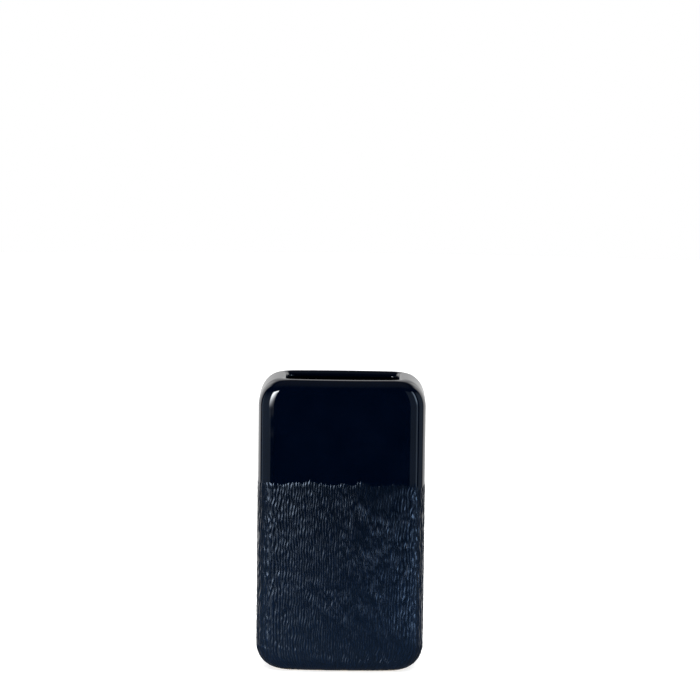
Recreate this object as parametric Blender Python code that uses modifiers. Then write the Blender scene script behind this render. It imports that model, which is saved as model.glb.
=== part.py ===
"""Ceramic bud vase: one fired stoneware body, a flat rounded brick with a slot mouth in its top.

Metres, +Z up. The vase stands on z = 0 with its vertical axis on the origin. Its broad faces look
along -Y (front) and +Y (back), and its narrow faces along -X and +X.
"""

import math

import bmesh
import bpy

# Overall size
WIDTH = 0.111
DEPTH = 0.060
HEIGHT = 0.195

# The wall: an even coat of slip left in the mould
WALL = 0.0045
LIP_ROUND = 0.0021
LIP_SEGMENTS = 3

# Plan of the body: the swell of the broad faces, and the rounded upright corners
FACE_RADIUS = 0.360
UPRIGHT_CORNER = 0.0125
MOUTH_CORNER = 0.0085

# Rounded top and foot, as (inward, up-and-down) radii of each quarter ellipse
SHOULDER_AT_ENDS = (0.0155, 0.0187)
SHOULDER_AT_FACES = (0.0080, 0.0080)
HEEL_AT_ENDS = (0.0170, 0.0170)
HEEL_AT_FACES = (0.0070, 0.0070)

# The flat strip of clay from the crest of the shoulder to the throat, which the lip rounds over
LIP_SHELF = 0.0036

# How finely the curves are cut
CORNER_STEPS = 7
FACE_STEPS = 4
END_STEPS = 1
FINE_LEVELS = 7
COARSE_LEVELS = 4

NAVY_GLAZE = (0.0012, 0.0030, 0.0100, 1.0)
GLAZE_ROUGHNESS = 0.12


def clear_scene():
    """Removes whatever the file holds, so that only the vase is left."""
    for obj in list(bpy.data.objects):
        bpy.data.objects.remove(obj, do_unlink=True)


def quarter_inset(radii, distance):
    """How far a quarter-ellipse edge draws in, at this distance above or below its crest."""
    inward, rise = radii
    if distance >= rise:
        return 0.0
    climb = 1.0 - distance / rise
    return inward * (1.0 - math.sqrt(1.0 - climb * climb))


def crest_distances(at_ends, at_faces):
    """Distances from a crest to the end of its rounding, closer together where it levels out."""
    distances = []
    for step in range(FINE_LEVELS + 1):
        turn = math.pi / 2 * step / FINE_LEVELS
        distances.append(at_faces[1] * (1.0 - math.cos(turn)))
    start = math.acos(1.0 - at_faces[1] / at_ends[1])
    for step in range(1, COARSE_LEVELS + 1):
        turn = start + (math.pi / 2 - start) * step / COARSE_LEVELS
        distances.append(at_ends[1] * (1.0 - math.cos(turn)))
    return distances


def levels():
    """Heights of the sections, from the foot to the crest of the shoulder."""
    heel = crest_distances(HEEL_AT_ENDS, HEEL_AT_FACES)
    shoulder = crest_distances(SHOULDER_AT_ENDS, SHOULDER_AT_FACES)
    return heel + [HEIGHT - distance for distance in reversed(shoulder)]


def section_sizes(z):
    """Half width, half depth and corner radius of the body at height z."""
    end_inset = quarter_inset(SHOULDER_AT_ENDS, HEIGHT - z) + quarter_inset(HEEL_AT_ENDS, z)
    top_inset = quarter_inset(SHOULDER_AT_FACES, HEIGHT - z)
    foot_inset = quarter_inset(HEEL_AT_FACES, z)
    closing = top_inset / SHOULDER_AT_FACES[0] + foot_inset / HEEL_AT_FACES[0]
    corner = UPRIGHT_CORNER + (MOUTH_CORNER - UPRIGHT_CORNER) * closing
    return WIDTH / 2 - end_inset, DEPTH / 2 - top_inset - foot_inset, corner


def quarter_plan(half_width, half_depth, corner):
    """Points of the section's +X +Y quarter, from the middle of the end to the middle of the face.

    The straight end, the corner's arc and the face's wide arc meet on common tangents.
    """
    corner_x = half_width - corner
    face_y = half_depth - FACE_RADIUS
    swing = math.asin(corner_x / (FACE_RADIUS - corner))
    corner_y = face_y + (FACE_RADIUS - corner) * math.cos(swing)
    points = []
    for step in range(END_STEPS):
        points.append((half_width, corner_y * step / END_STEPS))
    for step in range(CORNER_STEPS):
        turn = (math.pi / 2 - swing) * step / CORNER_STEPS
        points.append((corner_x + corner * math.cos(turn), corner_y + corner * math.sin(turn)))
    for step in range(FACE_STEPS + 1):
        turn = swing * (1.0 - step / FACE_STEPS)
        points.append((FACE_RADIUS * math.sin(turn), face_y + FACE_RADIUS * math.cos(turn)))
    return points


def section(half_width, half_depth, corner, z):
    """One closed section of the body, counterclockwise from above."""
    quarter = quarter_plan(half_width, half_depth, corner)
    front_right = [(x, -y) for x, y in reversed(quarter[1:])]
    right = front_right + quarter[:-1]
    left = [(-x, -y) for x, y in right]
    return [(x, y, z) for x, y in right + left]


def lofted_skin(sections):
    """An open bmesh through the sections, closed at its first one."""
    bm = bmesh.new()
    rings = []
    for points in sections:
        rings.append([bm.verts.new(point) for point in points])
    bm.faces.new(rings[0])
    for lower, upper in zip(rings, rings[1:]):
        for here in range(len(lower)):
            there = (here + 1) % len(lower)
            bm.faces.new((lower[here], lower[there], upper[there], upper[here]))
    bmesh.ops.recalc_face_normals(bm, faces=bm.faces)
    return bm


def body_sections():
    """The outer skin's sections, from the flat foot to the edge of the throat."""
    sections = [section(*section_sizes(z), z) for z in levels()]
    half_width, half_depth, corner = section_sizes(HEIGHT)
    throat = section(
        half_width - LIP_SHELF, half_depth - LIP_SHELF, corner - LIP_SHELF, HEIGHT
    )
    return sections + [throat]


def navy_glaze():
    """Near-black navy glaze, fired glossy."""
    material = bpy.data.materials.new("navy_glaze")
    material.use_nodes = True
    shader = material.node_tree.nodes["Principled BSDF"]
    shader.inputs["Base Color"].default_value = NAVY_GLAZE
    shader.inputs["Roughness"].default_value = GLAZE_ROUGHNESS
    shader.inputs["Metallic"].default_value = 0.0
    return material


def cast_body(collection):
    """The vase: a lofted skin given its wall inwards, with the cut edge of the mouth rounded."""
    mesh = bpy.data.meshes.new("vase_body")
    bm = lofted_skin(body_sections())
    bm.to_mesh(mesh)
    bm.free()
    mesh.materials.append(navy_glaze())
    mesh.shade_smooth()
    body = bpy.data.objects.new("vase_body", mesh)
    collection.objects.link(body)

    wall = body.modifiers.new("wall", "SOLIDIFY")
    wall.thickness = WALL
    wall.offset = -1.0
    wall.use_even_offset = True

    lip = body.modifiers.new("lip", "BEVEL")
    lip.width = LIP_ROUND
    lip.segments = LIP_SEGMENTS
    lip.limit_method = "ANGLE"
    lip.angle_limit = math.radians(60)
    return body


def main():
    clear_scene()
    collection = bpy.data.collections.new("bud_vase")
    bpy.context.scene.collection.children.link(collection)
    cast_body(collection)


main()
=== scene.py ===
"""Looks of the ceramic bud vase: glossy navy glaze above, wrinkled satin glaze below, bare foot.

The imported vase_body gives the size. Three pieces stand for it: glazed_body is the whole shell with
its lip and inside, wrinkled_coat is the textured glaze round the lower part, and wiped_foot is the
bare clay that the vase stands on. Metres, +Z up, the front faces -Y.
"""

import math

import bpy
import numpy as np
from mathutils import Matrix, Vector


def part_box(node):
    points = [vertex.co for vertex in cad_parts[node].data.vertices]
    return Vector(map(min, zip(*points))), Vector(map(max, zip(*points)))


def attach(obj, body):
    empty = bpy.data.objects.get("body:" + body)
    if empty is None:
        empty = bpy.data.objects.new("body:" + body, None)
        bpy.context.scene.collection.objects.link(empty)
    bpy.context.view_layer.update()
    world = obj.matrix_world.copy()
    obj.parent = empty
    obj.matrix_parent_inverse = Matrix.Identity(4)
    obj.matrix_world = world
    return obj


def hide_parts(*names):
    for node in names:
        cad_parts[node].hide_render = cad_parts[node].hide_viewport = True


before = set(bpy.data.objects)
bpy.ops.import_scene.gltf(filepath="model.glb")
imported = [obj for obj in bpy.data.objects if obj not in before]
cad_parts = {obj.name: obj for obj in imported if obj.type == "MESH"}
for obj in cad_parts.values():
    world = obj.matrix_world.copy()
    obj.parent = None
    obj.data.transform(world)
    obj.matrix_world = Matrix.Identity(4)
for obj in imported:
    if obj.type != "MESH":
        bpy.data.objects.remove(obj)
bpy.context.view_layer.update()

MM = 0.001
NODE = "vase_body"
low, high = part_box(NODE)
WIDTH, DEPTH, HEIGHT = high - low

# The shape of the fired body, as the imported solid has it
WALL = 4.5 * MM
LIP_SHELF = 3.6 * MM
LIP_ROUND = 3.6 * MM
FACE_RADIUS = 360 * MM
UPRIGHT_CORNER = 12.5 * MM
MOUTH_CORNER = 8.5 * MM
SHOULDER_AT_ENDS = (15.5 * MM, 18.7 * MM)
SHOULDER_AT_FACES = (8.0 * MM, 8.0 * MM)
HEEL_AT_ENDS = (17.0 * MM, 17.0 * MM)
HEEL_AT_FACES = (7.0 * MM, 7.0 * MM)

# Depths of the skins below the outermost one, which the tops of the wrinkles reach
GLOSS_SKIN = 0.30 * MM
CLAY_SKIN = 1.00 * MM
COAT_THICKNESS = 1.6 * MM

# The glazed skin goes down to the depth of the clay between these distances below the line
DIVE_START = 2.5 * MM
DIVE_END = 5.0 * MM

# The line where the glossy glaze ends, and how the wrinkles sink under it there
TEXTURE_LINE = HEIGHT - 70.0 * MM
LINE_WAVER = 13.0 * MM
LINE_SLANT = 0.025
LINE_ZONE = 6.0 * MM
LINE_SINK = 0.80 * MM
COAT_TOP = TEXTURE_LINE + 7.0 * MM

# Wrinkles: closest together in the middle of the broad faces, widest apart on the narrow ones
RIDGE_SPACING = 1.6 * MM
END_SPACING = 3.0 * MM
RIDGE_DEPTH = 0.34 * MM
END_DEPTH = 0.55 * MM

# The width that a ridge wanders over, in ridge spacings, and the size of the breaks in it
WANDER = 3.0
BREAK_SIZE = 1.9 * MM

# Where the wrinkles are shallower, as shares of their depth: in patches, at the foot, at the line
PATCH_SHARE = 0.60
FOOT_SHARE = 0.80
LINE_SHARE = 0.75

# The depth grows to the whole between these heights above the table, and eases off again over
# this distance below the line
FOOT_EASING = (2 * MM, 90 * MM)
LINE_EASING = 8 * MM

# The foot: the glaze stops this far above the table
GLAZE_STOP = 0.35 * MM
FOOT_THICKNESS = 1.4 * MM
FOOT_MARGIN = 0.5 * MM

# Sockets of a colour Mix node, whose names are shared with its other data types
FACTOR, COLOUR_A, COLOUR_B, MIXED = 0, 6, 7, 2


# ---------------------------------------------------------------- sections of the body

def quarter_inset(radii, distance, skin):
    """How far a quarter-ellipse edge draws in, on a skin this far inside the outermost one."""
    inward, rise = radii[0] - skin, radii[1] - skin
    climb = 1.0 - min(max(distance / rise, 0.0), 1.0)
    return inward * (1.0 - math.sqrt(1.0 - climb * climb))


def section_sizes(z, skin=0.0):
    """Half width, half depth and corner radius at height z, on a skin inside the outermost one."""
    from_top = HEIGHT - skin - z
    from_foot = z - skin
    ends = quarter_inset(SHOULDER_AT_ENDS, from_top, skin)
    ends += quarter_inset(HEEL_AT_ENDS, from_foot, skin)
    top = quarter_inset(SHOULDER_AT_FACES, from_top, skin)
    foot = quarter_inset(HEEL_AT_FACES, from_foot, skin)
    closing = top / (SHOULDER_AT_FACES[0] - skin) + foot / (HEEL_AT_FACES[0] - skin)
    corner = UPRIGHT_CORNER + (MOUTH_CORNER - UPRIGHT_CORNER) * closing - skin * (1.0 - closing)
    return WIDTH / 2 - skin - ends, DEPTH / 2 - skin - top - foot, corner


def ring(sizes, z, counts, inset=0.0):
    """One closed section, counterclockwise: straight ends, corner arcs and wide arcs, all tangent.

    counts is the number of steps in each quarter's end, corner and face.
    """
    half_width, half_depth, corner = (size - inset for size in sizes)
    corner_x = half_width - corner
    face_y = half_depth - FACE_RADIUS
    swing = math.asin(corner_x / (FACE_RADIUS - corner))
    corner_y = face_y + (FACE_RADIUS - corner) * math.cos(swing)
    end_count, corner_count, face_count = counts
    along_end = np.linspace(0.0, corner_y, end_count, endpoint=False)
    turn = np.linspace(0.0, math.pi / 2 - swing, corner_count, endpoint=False)
    wide = np.linspace(swing, 0.0, face_count + 1)
    x = np.concatenate((
        np.full(end_count, half_width),
        corner_x + corner * np.cos(turn),
        FACE_RADIUS * np.sin(wide),
    ))
    y = np.concatenate((
        along_end,
        corner_y + corner * np.sin(turn),
        face_y + FACE_RADIUS * np.cos(wide),
    ))
    right_x = np.concatenate((x[:0:-1], x[:-1]))
    right_y = np.concatenate((-y[:0:-1], y[:-1]))
    plan_x = np.concatenate((right_x, -right_x))
    plan_y = np.concatenate((right_y, -right_y))
    return np.column_stack((plan_x, plan_y, np.full(len(plan_x), z)))


def crest_distances(at_ends, at_faces, fine, coarse, skin=0.0):
    """Distances from a crest to the end of its rounding, closer together where it levels out."""
    rise_faces = at_faces[1] - skin
    rise_ends = at_ends[1] - skin
    near = rise_faces * (1.0 - np.cos(np.linspace(0.0, math.pi / 2, fine + 1)))
    start = math.acos(1.0 - rise_faces / rise_ends)
    turns = np.linspace(start, math.pi / 2, coarse + 1)[1:]
    return np.concatenate((near, rise_ends * (1.0 - np.cos(turns))))


def lofted(name, rings, closed_loop=False):
    """A mesh object through the rings, each an (n, 3) array. Its ends are capped, or joined."""
    count = len(rings[0])
    here = np.arange(count)
    there = (here + 1) % count
    steps = len(rings) if closed_loop else len(rings) - 1
    quads = []
    for step in range(steps):
        lower = step * count
        upper = (step + 1) % len(rings) * count
        quads.append(np.stack((lower + here, lower + there, upper + there, upper + here), 1))
    faces = np.concatenate(quads).tolist()
    if not closed_loop:
        faces.append(here[::-1].tolist())
        faces.append((here + count * (len(rings) - 1)).tolist())
    mesh = bpy.data.meshes.new(name)
    mesh.from_pydata(np.concatenate(rings).tolist(), [], faces)
    mesh.shade_smooth()
    piece = bpy.data.objects.new(name, mesh)
    bpy.context.scene.collection.objects.link(piece)
    return piece


# ---------------------------------------------------------------- pieces

def gloss_depth(z):
    """How deep the glazed skin lies at height z: it goes under the wrinkled coat below the line."""
    start, end = TEXTURE_LINE - DIVE_END, TEXTURE_LINE - DIVE_START
    share = min(max((z - start) / (end - start), 0.0), 1.0)
    share = share * share * (3.0 - 2.0 * share)
    return CLAY_SKIN + (GLOSS_SKIN - CLAY_SKIN) * share


def glazed_body():
    """The whole shell: outside, round lip, inside and floor, in one closed skin."""
    counts = (5, 26, 18)
    heel = CLAY_SKIN + crest_distances(HEEL_AT_ENDS, HEEL_AT_FACES, 10, 6, CLAY_SKIN)
    crest = HEIGHT - GLOSS_SKIN
    shoulder = crest - crest_distances(SHOULDER_AT_ENDS, SHOULDER_AT_FACES, 26, 16, GLOSS_SKIN)
    # Rings 1 mm apart up the wall, clear of the heel's last one and the shoulder's
    wall = np.arange(heel[-1] + 3 * MM, shoulder[-1] - 1 * MM, 1.0 * MM)
    rings = []
    for z in np.concatenate((heel, wall, shoulder[::-1])):
        rings.append(ring(section_sizes(z, gloss_depth(z)), z, counts))

    # The lip rounds down into the mouth, then turns back under to meet the ceiling of the inside
    lip_under = WALL - GLOSS_SKIN - LIP_ROUND
    for turn in np.linspace(0.0, math.pi, 25)[1:-1]:
        rise = LIP_ROUND if turn < math.pi / 2 else lip_under
        z = crest - LIP_ROUND + rise * math.cos(turn)
        rings.append(ring(section_sizes(crest, GLOSS_SKIN), z, counts, LIP_SHELF * math.sin(turn)))

    ceiling = HEIGHT - WALL - crest_distances(SHOULDER_AT_ENDS, SHOULDER_AT_FACES, 8, 8, WALL)
    floor = WALL + crest_distances(HEEL_AT_ENDS, HEEL_AT_FACES, 8, 8, WALL)
    wall = np.linspace(ceiling[-1], floor[-1], 12)[1:-1]
    for z in np.concatenate((ceiling, wall, floor[::-1])):
        rings.append(ring(section_sizes(z, WALL), z, counts))
    return lofted("glazed_body", rings)


def ridge_layout(plan):
    """For each point of a section: the ridges that lie before it, and how deep they are there."""
    edges = np.roll(plan, -1, axis=0) - plan
    # 0 across the middle of the broad faces, rising to 1 on the narrow ones
    spread = (2 * plan[:, 0] / WIDTH) ** 4
    spacing = RIDGE_SPACING + (END_SPACING - RIDGE_SPACING) * spread
    steps = np.hypot(edges[:, 0], edges[:, 1]) / spacing
    # A whole number of ridges goes round the vase, so that the last meets the first
    steps *= round(steps.sum()) / steps.sum()
    return np.cumsum(steps) - steps, RIDGE_DEPTH + (END_DEPTH - RIDGE_DEPTH) * spread


def wrinkled_coat():
    """The textured glaze round the lower part: a closed sleeve, still smooth."""
    counts = (38, 46, 112)
    heel = crest_distances(HEEL_AT_ENDS, HEEL_AT_FACES, 8, 12)
    heel = heel[heel > 2 * GLAZE_STOP]
    wall = np.linspace(heel[-1], COAT_TOP, 90)[1:]
    outer = np.concatenate(([GLAZE_STOP], heel, wall))
    inner = (COAT_TOP, HEEL_AT_ENDS[1], HEEL_AT_FACES[1], 2.0 * MM, GLAZE_STOP)
    rings = [ring(section_sizes(z), z, counts) for z in outer]
    rings += [ring(section_sizes(z), z, counts, COAT_THICKNESS) for z in inner]
    coat = lofted("wrinkled_coat", rings, closed_loop=True)
    passed, depth = ridge_layout(rings[len(outer) - 1])
    marks = {
        "outside": np.repeat([1.0, 0.0], [len(outer) * len(passed), len(inner) * len(passed)]),
        "ridge_depth": np.tile(depth, len(rings)),
        "ridges_passed": np.tile(passed, len(rings)),
    }
    for name, values in marks.items():
        mark = coat.data.attributes.new(name, "FLOAT", "POINT")
        mark.data.foreach_set("value", values.astype(np.float32))
    return coat


def wiped_foot():
    """The bare clay that stands on the kiln shelf: a shallow dish just inside the heel's curve."""
    counts = (3, 10, 14)
    rings = []
    for z in np.linspace(0.0, 1.0, 7) ** 2 * FOOT_THICKNESS:
        rings.append(ring(section_sizes(z), z, counts, FOOT_MARGIN))
    return lofted("wiped_foot", rings)


# ---------------------------------------------------------------- nodes and colours

def add_node(tree, kind, inputs=None, **settings):
    """Adds a node, sets its properties, and sets or links its inputs, given by name or number."""
    node = tree.nodes.new(kind)
    for name, value in settings.items():
        setattr(node, name, value)
    for key, value in (inputs or {}).items():
        if isinstance(value, bpy.types.Node):
            value = value.outputs[0]
        if isinstance(value, bpy.types.NodeSocket):
            tree.links.new(value, node.inputs[key])
        else:
            node.inputs[key].default_value = value
    return node


def srgb(code):
    """A colour written as an sRGB hex code, as linear values."""
    values = [int(code[at:at + 2], 16) / 255 for at in (1, 3, 5)]
    linear = [v / 12.92 if v <= 0.04045 else ((v + 0.055) / 1.055) ** 2.4 for v in values]
    return (*linear, 1.0)


def step_between(start, end, low_value=0.0, high_value=1.0):
    """Map Range inputs that turn start..end into low_value..high_value."""
    return {"From Min": start, "From Max": end, "To Min": low_value, "To Max": high_value}


# ---------------------------------------------------------------- wrinkles

def ridge_field(tree, given, place):
    """Ridge height, 0 in the valleys to 1 on the tops: upright waves that wander, join and break."""
    upright = add_node(
        tree, "ShaderNodeVectorMath", {0: place, 1: (1.0, 1.0, 0.7)}, operation="MULTIPLY"
    )
    drift = add_node(
        tree, "ShaderNodeTexNoise",
        {"Vector": upright, "W": given["Seed"], "Scale": 1 / (5 * MM), "Detail": 2.5},
        noise_dimensions="4D",
    )
    centred = add_node(tree, "ShaderNodeMath", {0: drift, 1: 0.5}, operation="SUBTRACT")
    passed = add_node(tree, "GeometryNodeInputNamedAttribute", {"Name": "ridges_passed"})
    count = add_node(
        tree, "ShaderNodeMath", {0: centred, 1: given["Wander"], 2: passed},
        operation="MULTIPLY_ADD",
    )
    angle = add_node(tree, "ShaderNodeMath", {0: count, 1: 2 * math.pi}, operation="MULTIPLY")
    wave = add_node(tree, "ShaderNodeMath", {0: angle}, operation="COSINE")
    ridge = add_node(
        tree, "ShaderNodeMapRange", {"Value": wave, **step_between(-0.8, 1.0)},
        interpolation_type="SMOOTHSTEP",
    )

    # Low places cross the ridges and break them into short lengths
    size = add_node(tree, "ShaderNodeMath", {0: 1.0, 1: given["Break size"]}, operation="DIVIDE")
    breaks = add_node(
        tree, "ShaderNodeTexNoise",
        {"Vector": upright, "W": given["Seed"], "Scale": size, "Detail": 1.0},
        noise_dimensions="4D",
    )
    kept = add_node(
        tree, "ShaderNodeMapRange", {"Value": breaks, **step_between(0.36, 0.56, 0.4, 1.0)}
    )
    return add_node(tree, "ShaderNodeMath", {0: ridge, 1: kept}, operation="MULTIPLY")


def ridge_depth(tree, given, place, height):
    """How deep the valleys are: patchy, and shallower towards the foot and just under the line."""
    patches = add_node(
        tree, "ShaderNodeTexNoise", {"Vector": place, "Scale": 1 / (12 * MM), "Detail": 1.0}
    )
    patchy = add_node(
        tree, "ShaderNodeMapRange",
        {"Value": patches, **step_between(0.35, 0.65, PATCH_SHARE, 1.0)},
    )
    easing = add_node(
        tree, "ShaderNodeMapRange",
        {"Value": height, **step_between(*FOOT_EASING, FOOT_SHARE, 1.0)},
    )
    below_line = add_node(
        tree, "ShaderNodeMath", {0: given["Line height"], 1: LINE_EASING}, operation="SUBTRACT"
    )
    shallower = add_node(
        tree, "ShaderNodeMapRange",
        {"Value": height, **step_between(below_line, given["Line height"], 1.0, LINE_SHARE)},
    )
    eased = add_node(tree, "ShaderNodeMath", {0: easing, 1: shallower}, operation="MULTIPLY")
    share = add_node(tree, "ShaderNodeMath", {0: patchy, 1: eased}, operation="MULTIPLY")
    full = add_node(tree, "GeometryNodeInputNamedAttribute", {"Name": "ridge_depth"})
    return add_node(tree, "ShaderNodeMath", {0: share, 1: full}, operation="MULTIPLY")


def sink_at_line(tree, given, place, height):
    """How far the coat dives under the glossy glaze, above a line that wavers up and down."""
    stretched = add_node(
        tree, "ShaderNodeVectorMath", {0: place, 1: (1.0, 1.0, 0.3)}, operation="MULTIPLY"
    )
    waver = add_node(
        tree, "ShaderNodeTexNoise",
        {"Vector": stretched, "Scale": 1 / (14 * MM), "Detail": 3.0, "Roughness": 0.7},
    )
    swing = add_node(tree, "ShaderNodeMath", {0: waver, 1: 0.5}, operation="SUBTRACT")
    wavering = add_node(
        tree, "ShaderNodeMath",
        {0: swing, 1: given["Line waver"], 2: given["Line height"]}, operation="MULTIPLY_ADD",
    )
    sideways = add_node(tree, "ShaderNodeSeparateXYZ", {0: place}).outputs["X"]
    line = add_node(
        tree, "ShaderNodeMath",
        {0: sideways, 1: given["Line slant"], 2: wavering}, operation="MULTIPLY_ADD",
    )
    end = add_node(tree, "ShaderNodeMath", {0: line, 1: given["Line zone"]}, operation="ADD")
    over = add_node(
        tree, "ShaderNodeMapRange", {"Value": height, **step_between(line, end)},
        interpolation_type="SMOOTHSTEP",
    )
    return add_node(
        tree, "ShaderNodeMath", {0: over, 1: given["Line sink"]}, operation="MULTIPLY"
    )


def wrinkle_tree(inputs):
    """Geometry Nodes that press upright, branching wrinkles into the sleeve's outer side."""
    tree = bpy.data.node_groups.new("wrinkles", "GeometryNodeTree")
    tree.interface.new_socket("Geometry", in_out="INPUT", socket_type="NodeSocketGeometry")
    for name in inputs:
        kind = "NodeSocketMaterial" if name == "Material" else "NodeSocketFloat"
        tree.interface.new_socket(name, in_out="INPUT", socket_type=kind)
    tree.interface.new_socket("Geometry", in_out="OUTPUT", socket_type="NodeSocketGeometry")
    given = add_node(tree, "NodeGroupInput").outputs
    place = add_node(tree, "GeometryNodeInputPosition")
    height = add_node(tree, "ShaderNodeSeparateXYZ", {0: place}).outputs["Z"]

    ridge = ridge_field(tree, given, place)
    depth = ridge_depth(tree, given, place, height)
    valley = add_node(tree, "ShaderNodeMath", {0: 1.0, 1: ridge}, operation="SUBTRACT")
    pressed = add_node(tree, "ShaderNodeMath", {0: valley, 1: depth}, operation="MULTIPLY")
    sink = sink_at_line(tree, given, place, height)
    lowered = add_node(tree, "ShaderNodeMath", {0: pressed, 1: sink}, operation="ADD")

    outside = add_node(tree, "GeometryNodeInputNamedAttribute", {"Name": "outside"})
    inward = add_node(tree, "ShaderNodeMath", {0: lowered, 1: outside}, operation="MULTIPLY")
    outward = add_node(tree, "ShaderNodeMath", {0: inward, 1: -1.0}, operation="MULTIPLY")
    facing = add_node(tree, "GeometryNodeInputNormal")
    offset = add_node(
        tree, "ShaderNodeVectorMath", {0: facing, "Scale": outward}, operation="SCALE"
    )
    marked = add_node(
        tree, "GeometryNodeStoreNamedAttribute",
        {"Geometry": given["Geometry"], "Name": "ridge", "Value": ridge},
    )
    pressed_in = add_node(tree, "GeometryNodeSetPosition", {"Geometry": marked, "Offset": offset})
    plain = add_node(tree, "GeometryNodeRealizeInstances", {"Geometry": pressed_in})
    coated = add_node(
        tree, "GeometryNodeSetMaterial", {"Geometry": plain, "Material": given["Material"]}
    )
    add_node(tree, "NodeGroupOutput", {"Geometry": coated})
    return tree


def press_wrinkles(coat, material):
    """Runs the wrinkle tree on the sleeve and keeps the result as a plain mesh."""
    inputs = {
        "Wander": WANDER,
        "Break size": BREAK_SIZE,
        "Line height": TEXTURE_LINE,
        "Line waver": LINE_WAVER,
        "Line slant": -LINE_SLANT,
        "Line zone": LINE_ZONE,
        "Line sink": LINE_SINK,
        "Seed": 3.0,
        "Material": material,
    }
    modifier = coat.modifiers.new("wrinkles", "NODES")
    modifier.node_group = wrinkle_tree(inputs)
    for item in modifier.node_group.interface.items_tree:
        if item.in_out == "INPUT" and item.name in inputs:
            modifier[item.identifier] = inputs[item.name]
    graph = bpy.context.evaluated_depsgraph_get()
    mesh = bpy.data.meshes.new_from_object(coat.evaluated_get(graph))
    coat.modifiers.clear()
    coat.data = mesh
    mesh.name = "wrinkled_coat"
    mesh.shade_smooth()


# ---------------------------------------------------------------- glazes and clay

def glossy_navy_glaze():
    """Dipped gloss glaze on stoneware, fired once: a deep, wet-looking navy, near black.

    The eye gets sharp reflections that waver a little, because the glaze ran before it set.
    """
    material = bpy.data.materials.new("glossy_navy_glaze")
    material.use_nodes = True
    tree = material.node_tree
    shader = tree.nodes["Principled BSDF"]
    shader.inputs["IOR"].default_value = 1.52
    place = add_node(tree, "ShaderNodeTexCoord").outputs["Object"]

    # The glaze lies thinner in some places, where it's a little lighter
    clouds = add_node(
        tree, "ShaderNodeTexNoise", {"Vector": place, "Scale": 1 / (22 * MM), "Detail": 2.0}
    )
    thin_glaze_and_ridge_light = add_node(
        tree, "ShaderNodeMapRange", {"Value": clouds, **step_between(0.3, 0.7)}
    )
    colour = add_node(
        tree, "ShaderNodeMix",
        {FACTOR: thin_glaze_and_ridge_light, COLOUR_A: srgb("#00030D"), COLOUR_B: srgb("#010511")},
        data_type="RGBA",
    )
    tree.links.new(colour.outputs[MIXED], shader.inputs["Base Color"])

    dulling = add_node(
        tree, "ShaderNodeTexNoise", {"Vector": place, "Scale": 1 / (9 * MM), "Detail": 2.0}
    )
    roughness = add_node(
        tree, "ShaderNodeMapRange", {"Value": dulling, **step_between(0.3, 0.7, 0.03, 0.05)}
    )
    tree.links.new(roughness.outputs[0], shader.inputs["Roughness"])

    run = add_node(
        tree, "ShaderNodeTexNoise", {"Vector": place, "Scale": 1 / (14 * MM), "Detail": 1.0}
    )
    bump = add_node(
        tree, "ShaderNodeBump", {"Height": run, "Strength": 1.0, "Distance": 0.06 * MM}
    )
    tree.links.new(bump.outputs[0], shader.inputs["Normal"])
    return material


def satin_wrinkle_glaze():
    """Satin glaze over wrinkled clay: near black in the valleys and navy on the tops, partly the
    glaze pooling and thinning, partly painted shade and painted light on the relief.

    The eye gets short, soft glints along the ridges and no clear reflection. Towards the foot the
    colour pales, as painted light from the floor.
    """
    material = bpy.data.materials.new("satin_wrinkle_glaze")
    material.use_nodes = True
    tree = material.node_tree
    shader = tree.nodes["Principled BSDF"]
    shader.inputs["IOR"].default_value = 1.36
    shader.inputs["Specular Tint"].default_value = srgb("#D2E5FF")
    place = add_node(tree, "ShaderNodeTexCoord").outputs["Object"]

    # Darker in the valleys and lighter on the ridge tops: painted shade and painted light that
    # follow the relief, besides the glaze pooling in the valleys
    ridge = add_node(tree, "ShaderNodeAttribute", attribute_name="ridge").outputs["Fac"]
    thin_glaze_and_ridge_light = add_node(
        tree, "ShaderNodeMapRange", {"Value": ridge, **step_between(0.1, 1.0)},
        interpolation_type="SMOOTHSTEP",
    )
    # The darker pair is for higher up, away from the painted floor light
    upper_coat_colour = add_node(
        tree, "ShaderNodeMix",
        {FACTOR: thin_glaze_and_ridge_light, COLOUR_A: srgb("#00040D"), COLOUR_B: srgb("#020918")},
        data_type="RGBA",
    )
    # The paler pair is for near the foot, where light from the floor is painted in
    floor_lit_coat_colour = add_node(
        tree, "ShaderNodeMix",
        {FACTOR: thin_glaze_and_ridge_light, COLOUR_A: srgb("#050F1C"), COLOUR_B: srgb("#0B182A")},
        data_type="RGBA",
    )
    # The coat gets paler towards the foot: painted light, standing in for light bounced up from the
    # floor
    height = add_node(tree, "ShaderNodeSeparateXYZ", {0: place}).outputs["Z"]
    painted_floor_bounce = add_node(
        tree, "ShaderNodeMapRange", {"Value": height, **step_between(110 * MM, 15 * MM)}
    )
    colour = add_node(
        tree, "ShaderNodeMix",
        {FACTOR: painted_floor_bounce, COLOUR_A: upper_coat_colour.outputs[MIXED], COLOUR_B: floor_lit_coat_colour.outputs[MIXED]},
        data_type="RGBA",
    )
    tree.links.new(colour.outputs[MIXED], shader.inputs["Base Color"])

    # The tops are a little smoother than the valleys
    roughness = add_node(
        tree, "ShaderNodeMapRange", {"Value": ridge, **step_between(0.1, 0.8, 0.28, 0.18)}
    )
    tree.links.new(roughness.outputs[0], shader.inputs["Roughness"])

    # Fine upright strokes in the glaze, drawn coarser than they are so that they show
    upright = add_node(
        tree, "ShaderNodeVectorMath", {0: place, 1: (1.0, 1.0, 0.3)}, operation="MULTIPLY"
    )
    strokes = add_node(
        tree, "ShaderNodeTexNoise", {"Vector": upright, "Scale": 1 / (0.8 * MM), "Detail": 2.0}
    )
    bump = add_node(
        tree, "ShaderNodeBump", {"Height": strokes, "Strength": 0.2, "Distance": 0.1 * MM}
    )
    tree.links.new(bump.outputs[0], shader.inputs["Normal"])
    return material


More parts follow.
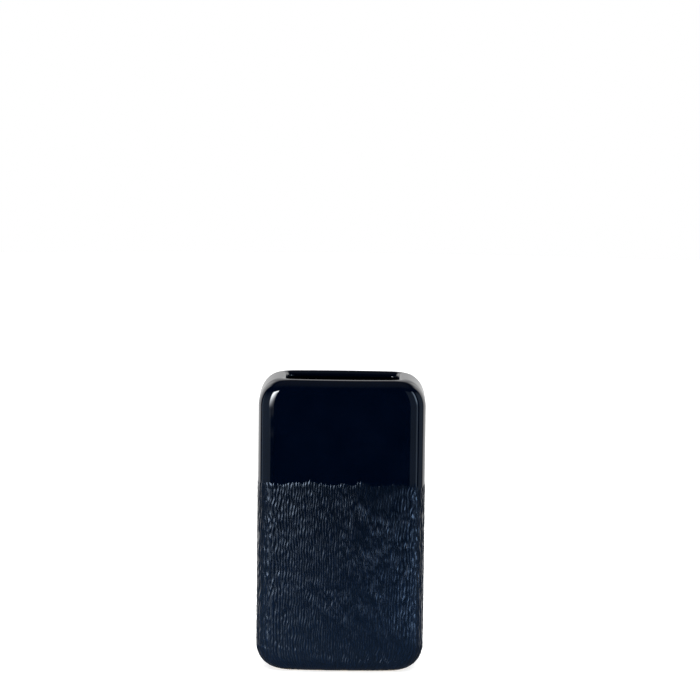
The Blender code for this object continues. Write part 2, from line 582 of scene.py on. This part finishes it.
def bare_stoneware():
    """Unglazed stoneware, wiped before firing: buff, matt and gritty, with dark iron specks."""
    material = bpy.data.materials.new("bare_stoneware")
    material.use_nodes = True
    tree = material.node_tree
    shader = tree.nodes["Principled BSDF"]
    shader.inputs["Roughness"].default_value = 0.92
    place = add_node(tree, "ShaderNodeTexCoord").outputs["Object"]

    firing = add_node(
        tree, "ShaderNodeTexNoise", {"Vector": place, "Scale": 1 / (6 * MM), "Detail": 4.0}
    )
    clay = add_node(
        tree, "ShaderNodeMix",
        {FACTOR: firing, COLOUR_A: srgb("#9C8B72"), COLOUR_B: srgb("#C4B59C")}, data_type="RGBA",
    )
    grains = add_node(
        tree, "ShaderNodeTexNoise", {"Vector": place, "Scale": 1 / (0.9 * MM), "Detail": 1.0}
    )
    specks = add_node(
        tree, "ShaderNodeMapRange", {"Value": grains, **step_between(0.68, 0.74)}
    )
    colour = add_node(
        tree, "ShaderNodeMix",
        {FACTOR: specks, COLOUR_A: clay.outputs[MIXED], COLOUR_B: srgb("#4A3A2C")},
        data_type="RGBA",
    )
    tree.links.new(colour.outputs[MIXED], shader.inputs["Base Color"])

    grit = add_node(
        tree, "ShaderNodeTexNoise", {"Vector": place, "Scale": 1 / (0.4 * MM), "Detail": 3.0}
    )
    bump = add_node(
        tree, "ShaderNodeBump", {"Height": grit, "Strength": 0.5, "Distance": 0.1 * MM}
    )
    tree.links.new(bump.outputs[0], shader.inputs["Normal"])
    return material


def white_paper():
    """Matt white background paper, lit a little from below as on a light table.

    It's dimmer where the glaze mirrors it, as with a polarised light.
    """
    material = bpy.data.materials.new("white_paper")
    material.use_nodes = True
    tree = material.node_tree
    paper = tree.nodes["Principled BSDF"]
    paper.inputs["Roughness"].default_value = 0.9
    paper.inputs["Specular IOR Level"].default_value = 0.1
    paper.inputs["Base Color"].default_value = srgb("#C8C8C7")
    paper.inputs["Emission Color"].default_value = srgb("#FFFFFF")
    paper.inputs["Emission Strength"].default_value = 0.7
    dim = add_node(tree, "ShaderNodeEmission", {"Color": srgb("#FFFFFF"), "Strength": 0.15})
    path = add_node(tree, "ShaderNodeLightPath").outputs["Is Glossy Ray"]
    seen = add_node(tree, "ShaderNodeMixShader", {0: path, 1: paper, 2: dim})
    tree.links.new(seen.outputs[0], tree.nodes["Material Output"].inputs["Surface"])
    return material


# ---------------------------------------------------------------- studio

def panel(tree, azimuth, elevation, sides, rise, soft, level):
    """One panel of the surroundings, by the directions it fills, in degrees.

    Azimuth 0 is behind the camera and +90 is the right. soft has the half widths of the left,
    right, lower and upper edges. An edge at 400 or -400 is past every direction, so it never shows.
    """
    edges = (
        (azimuth, sides[0], soft[0], 0.0, 1.0),
        (azimuth, sides[1], soft[1], 1.0, 0.0),
        (elevation, rise[0], soft[2], 0.0, 1.0),
        (elevation, rise[1], soft[3], 1.0, 0.0),
    )
    brightness = level
    for angle, at, half, before, after in edges:
        edge = add_node(
            tree, "ShaderNodeMapRange",
            {"Value": angle, **step_between(at - half, at + half, before, after)},
            interpolation_type="SMOOTHSTEP",
        )
        brightness = add_node(
            tree, "ShaderNodeMath", {0: edge, 1: brightness}, operation="MULTIPLY"
        )
    return brightness


def summed(tree, values):
    """The sum of several values."""
    total = values[0]
    for value in values[1:]:
        total = add_node(tree, "ShaderNodeMath", {0: total, 1: value}, operation="ADD")
    return total


def studio_surroundings():
    """What the glaze mirrors: a backdrop, a bright softbox front left and dim cards round the vase.

    A lamp low at the front right lights the wrinkles there. The camera itself sees plain white.
    """
    world = bpy.data.worlds.new("studio")
    bpy.context.scene.world = world
    world.use_nodes = True
    tree = world.node_tree
    tree.nodes.clear()
    direction = add_node(tree, "ShaderNodeTexCoord").outputs["Generated"]
    parts = add_node(tree, "ShaderNodeSeparateXYZ", {0: direction})
    forward = add_node(
        tree, "ShaderNodeMath", {0: parts.outputs["Y"], 1: -1.0}, operation="MULTIPLY"
    )
    bearing = add_node(
        tree, "ShaderNodeMath", {0: parts.outputs["X"], 1: forward}, operation="ARCTAN2"
    )
    azimuth = add_node(tree, "ShaderNodeMath", {0: bearing}, operation="DEGREES")
    around = add_node(tree, "ShaderNodeMath", {0: azimuth}, operation="ABSOLUTE")
    climb = add_node(tree, "ShaderNodeMath", {0: parts.outputs["Z"]}, operation="ARCSINE")
    elevation = add_node(tree, "ShaderNodeMath", {0: climb}, operation="DEGREES")

    backdrop = panel(tree, around, elevation, (158, 400), (-12, 38), (8, 1, 3, 8), 0.75)
    side_walls = panel(tree, around, elevation, (118, 158), (-12, 38), (5, 8, 3, 8), 1.7)
    below = panel(tree, around, elevation, (116, 400), (-95, -12), (6, 1, 1, 3), 0.3)
    ceiling = panel(tree, around, elevation, (-400, 400), (55, 400), (1, 1, 20, 1), 0.08)
    left_card = panel(tree, azimuth, elevation, (-93, -38), (-60, 10), (2, 1.5, 8, 12), 0.38)
    left_edge = panel(tree, azimuth, elevation, (-104, -95), (-60, 10), (2, 2, 8, 12), 0.8)
    softbox = panel(tree, azimuth, elevation, (-48, -19), (-2, 7.6), (3, 1.5, 7.5, 4), 32.0)
    right_card = panel(tree, azimuth, elevation, (20, 67), (-60, 20), (2, 1.5, 8, 8), 0.27)
    strip = panel(tree, azimuth, elevation, (59, 68), (-60, 14), (4, 1.5, 8, 3), 0.90)
    strip_top = panel(tree, azimuth, elevation, (59, 68), (-1, 26), (4, 1.5, 4, 4), 3.2)
    far_card = panel(tree, azimuth, elevation, (79, 110), (-60, 20), (2, 10, 8, 8), 0.40)
    low_right = panel(tree, azimuth, elevation, (30, 60), (-50, -17), (4, 4, 6, 4), 16.0)

    lamps = {
        "#FFFFFF": (backdrop, side_walls, below, ceiling),
        "#C8E0FA": (left_card, left_edge, right_card, strip, strip_top, far_card, low_right),
        "#EEF2F6": (softbox,),
    }
    mirrored = None
    for colour, panels in lamps.items():
        lit = add_node(
            tree, "ShaderNodeBackground",
            {"Color": srgb(colour), "Strength": summed(tree, panels)},
        )
        if mirrored:
            lit = add_node(tree, "ShaderNodeAddShader", {0: mirrored, 1: lit})
        mirrored = lit
    seen = add_node(tree, "ShaderNodeBackground", {"Color": srgb("#FFFFFF"), "Strength": 1.0})
    path = add_node(tree, "ShaderNodeLightPath").outputs["Is Camera Ray"]
    mixed = add_node(tree, "ShaderNodeMixShader", {0: path, 1: mirrored, 2: seen})
    add_node(tree, "ShaderNodeOutputWorld", {"Surface": mixed})


def overhead_light():
    """A wide, even light from above that keeps the floor white and its shadow soft."""
    data = bpy.data.lights.new("overhead", "SUN")
    data.energy = 3.9
    data.angle = math.radians(110)
    light = bpy.data.objects.new("overhead", data)
    bpy.context.scene.collection.objects.link(light)
    light.visible_glossy = False


def paper_floor():
    """The pale floor: the round of paper near the vase is mirrored in it, and the rest isn't."""
    paper = white_paper()
    near_radius = 0.12
    far_radius = 2.5
    sides = 64
    turns = np.linspace(0.0, 2 * math.pi, sides, endpoint=False)
    rim = np.column_stack((np.cos(turns), np.sin(turns), np.zeros(sides)))
    here = np.arange(sides)
    there = (here + 1) % sides
    ring_faces = np.stack((here, here + sides, there + sides, there), 1).tolist()
    shapes = {
        "floor_near": (rim * near_radius, [here.tolist()]),
        "floor_far": (np.concatenate((rim * near_radius, rim * far_radius)), ring_faces),
    }
    for name, (points, faces) in shapes.items():
        mesh = bpy.data.meshes.new(name)
        mesh.from_pydata(points.tolist(), [], faces)
        mesh.materials.append(paper)
        floor = bpy.data.objects.new(name, mesh)
        bpy.context.scene.collection.objects.link(floor)
        floor.visible_glossy = name == "floor_near"


def camera():
    """Long lens, a little above the mouth, looking slightly down, with a trace of roll."""
    distance = 2.2
    pitch = math.radians(7.95)
    roll = math.radians(0.70)
    # A point a little right of the vase's axis and above its mouth
    aim = Vector((4.65 * MM, 0.0, HEIGHT + 16.6 * MM))
    data = bpy.data.cameras.new("camera")
    data.lens = 171.0
    data.clip_start = 0.1
    data.clip_end = 50.0
    seeing = bpy.data.objects.new("camera", data)
    bpy.context.scene.collection.objects.link(seeing)
    back = Vector((0.0, -math.cos(pitch), math.sin(pitch)))
    turn = (-back).to_track_quat("-Z", "Y").to_matrix().to_4x4()
    seeing.matrix_world = (
        Matrix.Translation(aim + back * distance) @ turn @ Matrix.Rotation(roll, 4, "Z")
    )
    bpy.context.scene.camera = seeing


def studio():
    """Camera, floor and light."""
    camera()
    paper_floor()
    overhead_light()
    studio_surroundings()
    bpy.context.scene.view_settings.view_transform = "Standard"


# ---------------------------------------------------------------- assembly

def vase():
    """Makes the three pieces, gives each its finish, and ties it to the frame."""
    body = glazed_body()
    body.data.materials.append(glossy_navy_glaze())
    coat = wrinkled_coat()
    press_wrinkles(coat, satin_wrinkle_glaze())
    foot = wiped_foot()
    foot.data.materials.append(bare_stoneware())
    foot.data.set_sharp_from_angle(angle=math.radians(40))
    slots = {body: "gloss_glaze", coat: "textured_glaze", foot: "bare_clay"}
    for piece, slot in slots.items():
        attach(piece, "root")
        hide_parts(NODE)


vase()
studio()
